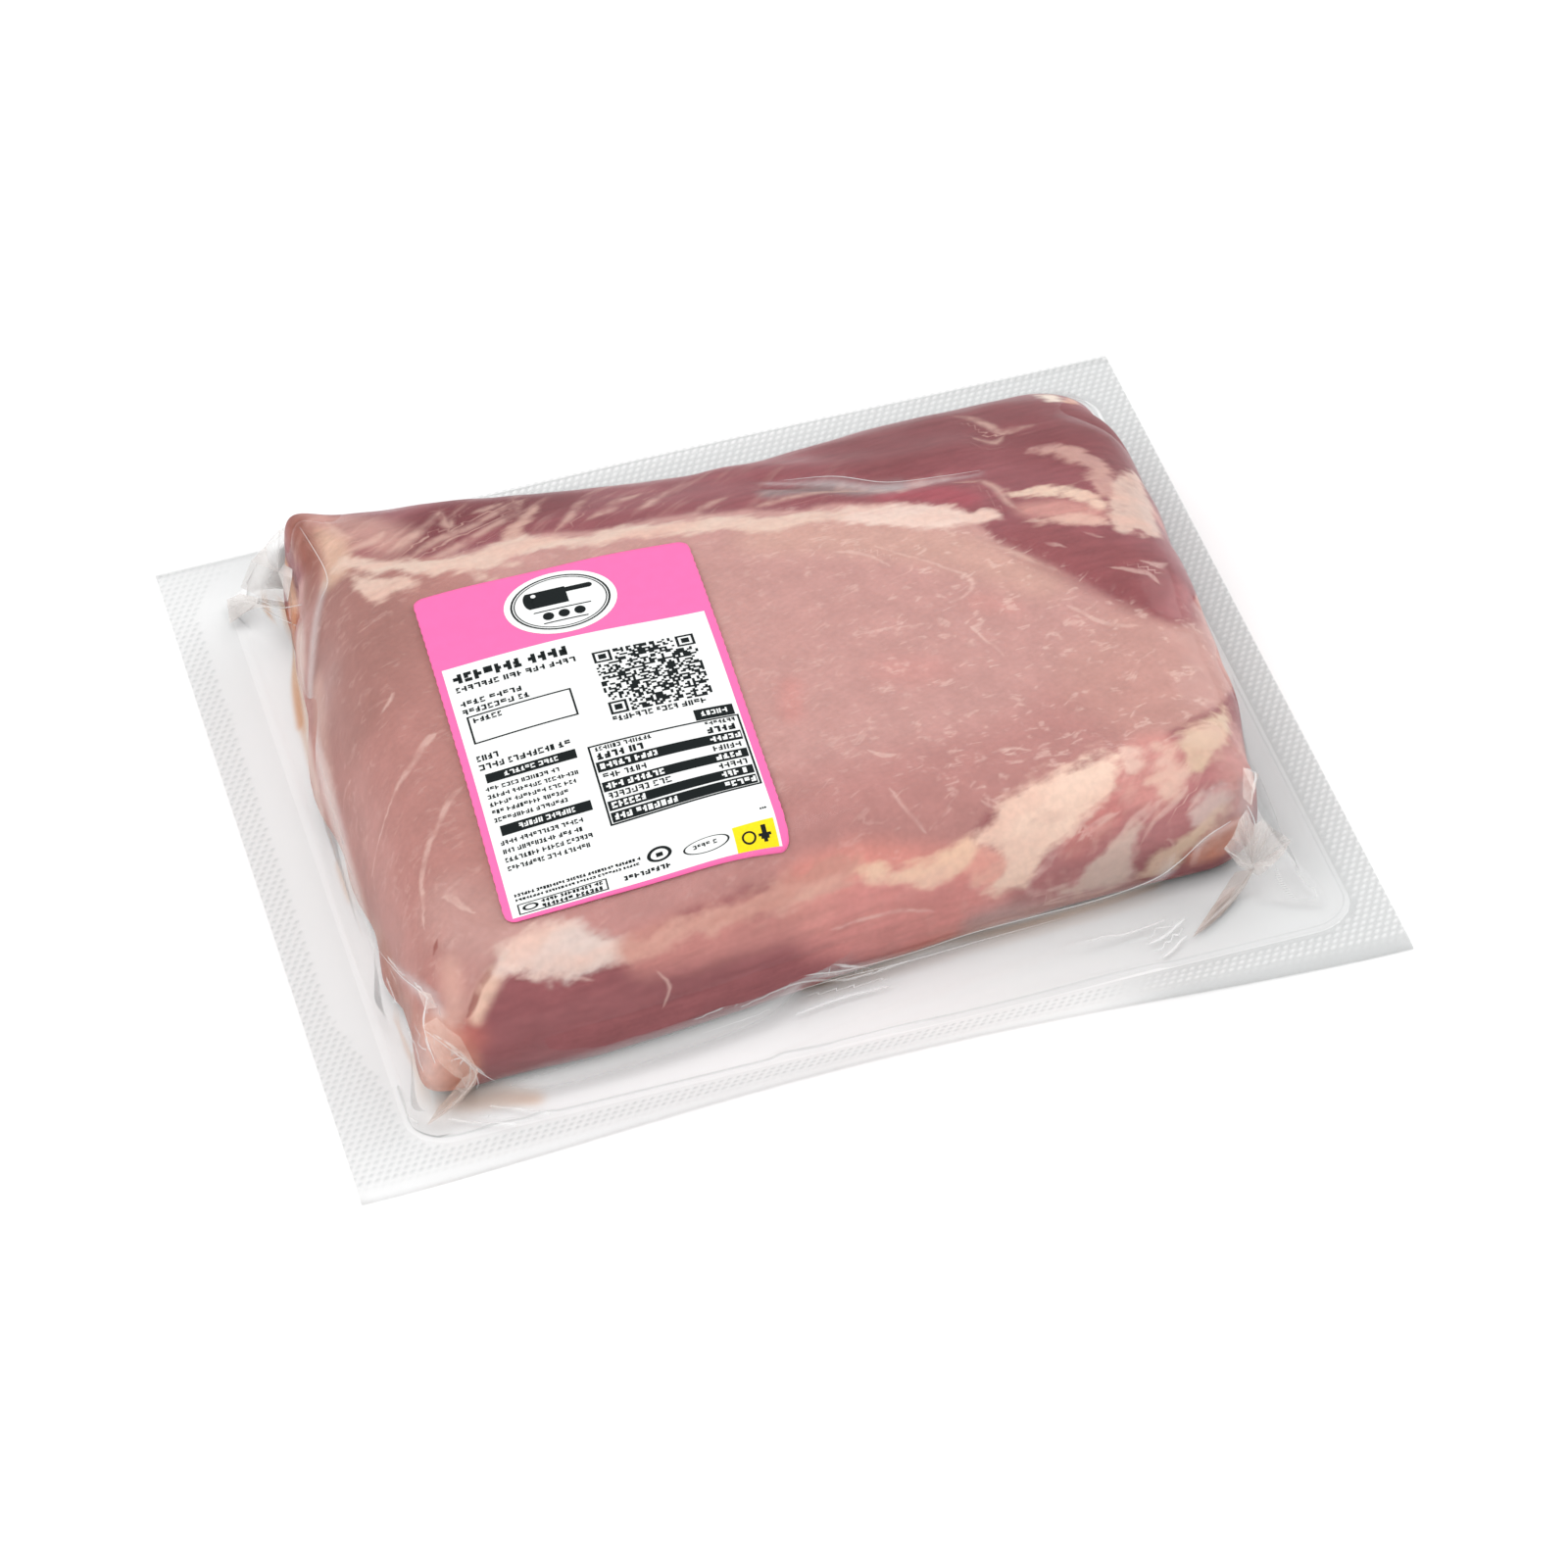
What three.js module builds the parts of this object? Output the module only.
// A piece of raw pork loin in a clear vacuum pack, with a printed label stuck on the film.
// Millimetres, +Z up. The origin is on the floor under the middle of the pack, +X runs to the
// right along its front edge and +Y to its back.
//
// The pack is a flat lower film, the loin lying on it, an upper film drawn tight over the loin
// and sealed to the lower film round a flat flange, and the label on top.

import * as THREE from 'three';
import { mergeVertices } from 'three/addons/utils/BufferGeometryUtils.js';

// Pack
const PACK_WIDTH = 225;
const PACK_DEPTH = 225;
const FILM = 0.4; // thickness of either film
const GAP = 0.3; // clearance between pieces that touch
const FRONT_PULL = 3; // the shrunk film draws the middle of the front edge in
const FRONT_LIFT = 2.4; // and up
const BACK_LIFT = 1.1;

// Pocket: the rounded rectangle inside the sealed flange
const POCKET_LEFT = -99;
const POCKET_RIGHT = 105;
const POCKET_FRONT = -101;
const POCKET_BACK = 101;
const POCKET_CORNER = 10;

// Loin outline at its widest: where each side lies, at even steps along it
const LOIN_HALF_WIDTH = 97;
const LOIN_HALF_DEPTH = 84;
const LOIN_LEFT_X = [-93, -92, -91, -89.5, -88]; // front to back
const LOIN_RIGHT_X = [92, 96, 99, 99, 98.5];
const LOIN_FRONT_Y = [-90, -88.5, -86, -82, -79, -77.5, -77]; // left to right
const LOIN_BACK_Y = [87, 82, 76, 73, 75.5, 78, 79];
const LOIN_CORNER = 12;

// Loin heights above the floor: rows run front to back, and each row left to right
const LOIN_TOP = [
  [26, 32, 41, 34, 27],
  [35, 40.5, 41.5, 36, 30],
  [40, 43.5, 43, 40, 33],
  [39, 42, 41, 37, 32],
  [35, 34, 30, 29, 27],
];
const LOIN_WIDEST = 11; // height of the widest line
const LOIN_SIDE_FLAT = 1.5; // half the height of the upright strip at that line
const LOIN_TUCK = 6; // how far the side draws in below that line
const SHOULDER_LEFT = 15;
const SHOULDER_RIGHT = 18;
const SHOULDER_FRONT = 15;
const SHOULDER_BACK = 20;

// Upper film where it leaves the loin: a small fillet, and fins of spare film at the corners
const FILLET = 6;
const FINS = [
  { side: [-1, -1], reach: 0.5, width: 9 },
  { side: [1, -1], reach: 0.65, width: 10 },
  { side: [-1, 1], reach: 0.97, width: 10 },
  { side: [1, 1], reach: 0.35, width: 9 },
];
const FIN_CURVE = 1.2;

// Label
const LABEL_WIDTH = 60;
const LABEL_LENGTH = 101;
const LABEL_THICK = 0.3;
const LABEL_CENTRE = [-37, -26];
const LABEL_TURN = THREE.MathUtils.degToRad(-2);
const LABEL_CLEAR = 1.1; // over the smooth shape of the film, whose facets lie a little lower

// Rings of each grid
const TOP_RINGS = 8;
const SHOULDER_RINGS = 5;
const FILLET_RINGS = 4;
const SHEET_RINGS = 7;
const LABEL_RINGS = 9;

const LOIN_BASE = FILM + GAP;
const LOIN_RINGS = TOP_RINGS + SHOULDER_RINGS;
const FILM_RINGS = LOIN_RINGS + FILLET_RINGS + 2; // the last two are the pocket line and the edge

// Smooth curve through values at even steps, read at t from 0 to 1
function along(values, t) {
  const last = values.length - 1;
  const at = THREE.MathUtils.clamp(t, 0, 1) * last;
  const i = Math.min(Math.floor(at), last - 1);
  const f = at - i;
  const before = values[i - 1] ?? 2 * values[i] - values[i + 1];
  const after = values[i + 2] ?? 2 * values[i + 1] - values[i];
  const slope0 = (values[i + 1] - before) / 2;
  const slope1 = (after - values[i]) / 2;
  const rise = values[i + 1] - values[i];
  const bend = 3 * rise - 2 * slope0 - slope1;
  const twist = slope0 + slope1 - 2 * rise;
  return values[i] + f * (slope0 + f * (bend + f * twist));
}

// Point of the unit square's edge drawn in to a rounded corner, radius as a share of each half side
function roundedSquare(a, b, radiusA, radiusB) {
  const innerA = THREE.MathUtils.clamp(a, radiusA - 1, 1 - radiusA);
  const innerB = THREE.MathUtils.clamp(b, radiusB - 1, 1 - radiusB);
  const overA = (a - innerA) / radiusA;
  const overB = (b - innerB) / radiusB;
  const over = Math.hypot(overA, overB);
  if (over <= 1) return [a, b];
  return [innerA + (radiusA * overA) / over, innerB + (radiusB * overB) / over];
}

// Loin
// Place in plan for a point of the unit square, whose edge is the loin's widest outline
function loinPlan(a, b) {
  const u = (a + 1) / 2;
  const v = (b + 1) / 2;
  const x = THREE.MathUtils.lerp(along(LOIN_LEFT_X, v), along(LOIN_RIGHT_X, v), u);
  const y = THREE.MathUtils.lerp(along(LOIN_FRONT_Y, u), along(LOIN_BACK_Y, u), v);
  return [x, y];
}

function loinTop(a, b) {
  const rows = LOIN_TOP.map((row) => along(row, (a + 1) / 2));
  return along(rows, (b + 1) / 2);
}

// How much a direction belongs to the left and right sides rather than the front and back
function sideShare(a, b) {
  const sharpness = 6;
  const across = Math.abs(a) ** sharpness;
  return across / (across + Math.abs(b) ** sharpness + Number.EPSILON);
}

function shoulderRadius(a, b) {
  const across = sideShare(a, b);
  const sideways = a > 0 ? SHOULDER_RIGHT : SHOULDER_LEFT;
  const lengthways = b > 0 ? SHOULDER_BACK : SHOULDER_FRONT;
  return THREE.MathUtils.lerp(lengthways, sideways, across);
}

// Point on the unit square's edge, with the loin's rounded corners
function loinEdge(a, b) {
  return roundedSquare(a, b, LOIN_CORNER / LOIN_HALF_WIDTH, LOIN_CORNER / LOIN_HALF_DEPTH);
}

// Point of the loin's side, or of a film lying off it. lean is 90 degrees on top and 0 at the side.
function loinSide(a, b, radius, lean, foot, off) {
  const inset = radius * (1 - Math.cos(lean)) - off * Math.cos(lean);
  const [edgeA, edgeB] = loinEdge(a, b);
  const atA = edgeA * (1 - inset / LOIN_HALF_WIDTH);
  const atB = edgeB * (1 - inset / LOIN_HALF_DEPTH);
  const [x, y] = loinPlan(atA, atB);
  return new THREE.Vector3(x, y, foot + (loinTop(atA, atB) - foot + off) * Math.sin(lean));
}

function loinUpper(ring, a, b, off = 0) {
  const radius = shoulderRadius(a, b);
  if (ring > TOP_RINGS) {
    const lean = (Math.PI / 2) * (1 - (ring - TOP_RINGS) / SHOULDER_RINGS);
    return loinSide(a, b, radius, lean, LOIN_WIDEST + LOIN_SIDE_FLAT, off);
  }
  const [edgeA, edgeB] = loinEdge(a, b);
  const atA = edgeA * (ring / TOP_RINGS) * (1 - radius / LOIN_HALF_WIDTH);
  const atB = edgeB * (ring / TOP_RINGS) * (1 - radius / LOIN_HALF_DEPTH);
  const [x, y] = loinPlan(atA, atB);
  return new THREE.Vector3(x, y, loinTop(atA, atB) + off);
}

function loinLower(ring, a, b) {
  const foot = LOIN_WIDEST - LOIN_SIDE_FLAT;
  if (ring > TOP_RINGS) {
    const lean = ((Math.PI / 2) * (LOIN_RINGS - ring)) / SHOULDER_RINGS;
    const point = loinSide(a, b, LOIN_TUCK, lean, foot, 0);
    return point.setZ(foot - (foot - LOIN_BASE) * Math.sin(lean));
  }
  const [edgeA, edgeB] = loinEdge(a, b);
  const atA = edgeA * (ring / TOP_RINGS) * (1 - LOIN_TUCK / LOIN_HALF_WIDTH);
  const atB = edgeB * (ring / TOP_RINGS) * (1 - LOIN_TUCK / LOIN_HALF_DEPTH);
  const [x, y] = loinPlan(atA, atB);
  return new THREE.Vector3(x, y, LOIN_BASE);
}

// Films
function pocketPoint(a, b) {
  const halfX = (POCKET_RIGHT - POCKET_LEFT) / 2;
  const halfY = (POCKET_BACK - POCKET_FRONT) / 2;
  const [edgeA, edgeB] = roundedSquare(a, b, POCKET_CORNER / halfX, POCKET_CORNER / halfY);
  return [POCKET_LEFT + halfX * (1 + edgeA), POCKET_FRONT + halfY * (1 + edgeB)];
}

// Edge of the pack, drawn in and lifted at the middle of its front, and lifted at its back
function edgePoint(a, b, z) {
  const bow = (1 - a * a) ** 2;
  let lift = 0;
  let pull = 0;
  if (b === -1) {
    lift = FRONT_LIFT;
    pull = FRONT_PULL;
  }
  if (b === 1) lift = BACK_LIFT;
  return new THREE.Vector3((a * PACK_WIDTH) / 2, (b * PACK_DEPTH) / 2 + pull * bow, z + lift * bow);
}

// How far a fin of spare film reaches from the loin's corner to the pocket's, as a share
function finReach(a, b) {
  let reach = 0;
  for (const fin of FINS) {
    const awayA = (a - fin.side[0]) * LOIN_HALF_WIDTH;
    const awayB = (b - fin.side[1]) * LOIN_HALF_DEPTH;
    reach += fin.reach * Math.exp(-((Math.hypot(awayA, awayB) / fin.width) ** 2));
  }
  return reach;
}

// Face of the upper film, off the loin's surface and over the lower film
function upperFilmPoint(ring, a, b, off) {
  const floor = FILM + off;
  if (ring === FILM_RINGS) return edgePoint(a, b, floor);
  const [pocketX, pocketY] = pocketPoint(a, b);
  if (ring === FILM_RINGS - 1) return new THREE.Vector3(pocketX, pocketY, floor);
  const point = loinUpper(Math.min(ring, LOIN_RINGS), a, b, off);
  if (ring <= TOP_RINGS) return point;
  const crest = loinTop(a, b);
  const finAt = (z) => finReach(a, b) * Math.max(1 - z / crest, 0) ** FIN_CURVE;
  let share = finAt(point.z);
  if (ring > LOIN_RINGS) {
    const turn = ((Math.PI / 2) * (ring - LOIN_RINGS)) / FILLET_RINGS;
    const room = Math.hypot(pocketX - point.x, pocketY - point.y);
    const start = finAt(FILLET);
    const end = Math.min(start + (FILLET / room) * (1 + start), 0.9);
    share = start + (end - start) * (1 - Math.cos(turn));
    point.z = floor + FILLET * (1 - Math.sin(turn));
  }
  point.x = THREE.MathUtils.lerp(point.x, pocketX, share);
  point.y = THREE.MathUtils.lerp(point.y, pocketY, share);
  return point;
}

function lowerFilmPoint(ring, a, b, z) {
  if (ring === SHEET_RINGS) return edgePoint(a, b, z);
  const share = ring / (SHEET_RINGS - 1);
  const [x, y] = pocketPoint(a, b);
  return new THREE.Vector3(x * share, y * share, z);
}

// Label
// Height of the upper film's outer face over a place in plan, found by closing in on its square
function filmTop(x, y) {
  let a = x / LOIN_HALF_WIDTH;
  let b = y / LOIN_HALF_DEPTH;
  const tries = 12;
  for (let i = 0; i < tries; i++) {
    const [atX, atY] = loinPlan(a, b);
    a += (x - atX) / LOIN_HALF_WIDTH;
    b += (y - atY) / LOIN_HALF_DEPTH;
  }
  const reach = Math.max(Math.abs(a), Math.abs(b));
  const radius = shoulderRadius(a / reach, b / reach);
  const half = Math.abs(a) > Math.abs(b) ? LOIN_HALF_WIDTH : LOIN_HALF_DEPTH;
  const inset = (1 - reach) * half;
  const lean = Math.acos(THREE.MathUtils.clamp(1 - inset / radius, 0, 1));
  const foot = LOIN_WIDEST + LOIN_SIDE_FLAT;
  return foot + (loinTop(a, b) - foot) * Math.sin(lean) + GAP + FILM;
}

function labelPoint(ring, a, b, lift) {
  const share = ring / LABEL_RINGS;
  const across = (a * share * LABEL_WIDTH) / 2;
  const up = (b * share * LABEL_LENGTH) / 2;
  const x = LABEL_CENTRE[0] + across * Math.cos(LABEL_TURN) - up * Math.sin(LABEL_TURN);
  const y = LABEL_CENTRE[1] + across * Math.sin(LABEL_TURN) + up * Math.cos(LABEL_TURN);
  return new THREE.Vector3(x, y, filmTop(x, y) + LABEL_CLEAR + lift);
}

// Closed body between an upper and a lower face, each a square grid read as rings round a centre
function closedBody(rings, upperFace, lowerFace) {
  const side = 2 * rings + 1;
  const faceSize = side * side;
  const positions = [];
  for (const face of [upperFace, lowerFace]) {
    for (let j = -rings; j <= rings; j++) {
      for (let i = -rings; i <= rings; i++) {
        const ring = Math.max(Math.abs(i), Math.abs(j));
        const point = face(ring, ring ? i / ring : 0, ring ? j / ring : 0);
        positions.push(point.x, point.y, point.z);
      }
    }
  }

  // Each cell is split along the diagonal that points at the grid's centre
  const indices = [];
  for (let j = 0; j < 2 * rings; j++) {
    for (let i = 0; i < 2 * rings; i++) {
      const near = j * side + i;
      const right = near + 1;
      const far = near + side;
      const across = far + 1;
      const outward = i < rings === j < rings;
      const split = outward
        ? [[near, right, across], [near, across, far]]
        : [[near, right, far], [right, across, far]];
      for (const [p, q, r] of split) {
        indices.push(p, q, r);
        indices.push(p + faceSize, r + faceSize, q + faceSize);
      }
    }
  }

  // The rim joins the two faces' outer rings
  const rim = [];
  for (let i = 0; i < 2 * rings; i++) rim.push(i);
  for (let j = 0; j < 2 * rings; j++) rim.push(j * side + 2 * rings);
  for (let i = 2 * rings; i > 0; i--) rim.push(2 * rings * side + i);
  for (let j = 2 * rings; j > 0; j--) rim.push(j * side);
  rim.forEach((from, k) => {
    const to = rim[(k + 1) % rim.length];
    indices.push(from + faceSize, to + faceSize, to);
    indices.push(from + faceSize, to, from);
  });

  const geometry = new THREE.BufferGeometry();
  geometry.setAttribute('position', new THREE.Float32BufferAttribute(positions, 3));
  geometry.setIndex(indices);
  const merged = mergeVertices(geometry, 1e-4);
  merged.computeVertexNormals();
  return merged;
}

function piece(name, geometry, finish) {
  const mesh = new THREE.Mesh(geometry, new THREE.MeshStandardMaterial(finish));
  mesh.name = name;
  return mesh;
}

function lowerFilm() {
  const geometry = closedBody(
    SHEET_RINGS,
    (ring, a, b) => lowerFilmPoint(ring, a, b, FILM),
    (ring, a, b) => lowerFilmPoint(ring, a, b, 0),
  );
  return piece('lower_film', geometry, { color: 0xe6e9e9, roughness: 0.25, metalness: 0 });
}

function porkLoin() {
  const geometry = closedBody(LOIN_RINGS, loinUpper, loinLower);
  return piece('pork_loin', geometry, { color: 0xc08a84, roughness: 0.45, metalness: 0 });
}

function upperFilm() {
  const geometry = closedBody(
    FILM_RINGS,
    (ring, a, b) => upperFilmPoint(ring, a, b, GAP + FILM),
    (ring, a, b) => upperFilmPoint(ring, a, b, GAP),
  );
  const finish = { color: 0xeef1f1, roughness: 0.12, metalness: 0, transparent: true, opacity: 0.3 };
  return piece('upper_film', geometry, finish);
}

function label() {
  const geometry = closedBody(
    LABEL_RINGS,
    (ring, a, b) => labelPoint(ring, a, b, LABEL_THICK),
    (ring, a, b) => labelPoint(ring, a, b, 0),
  );
  return piece('label', geometry, { color: 0xff7ab1, roughness: 0.5, metalness: 0 });
}

const pack = new THREE.Group();
pack.add(lowerFilm(), porkLoin(), upperFilm(), label());

export default pack;
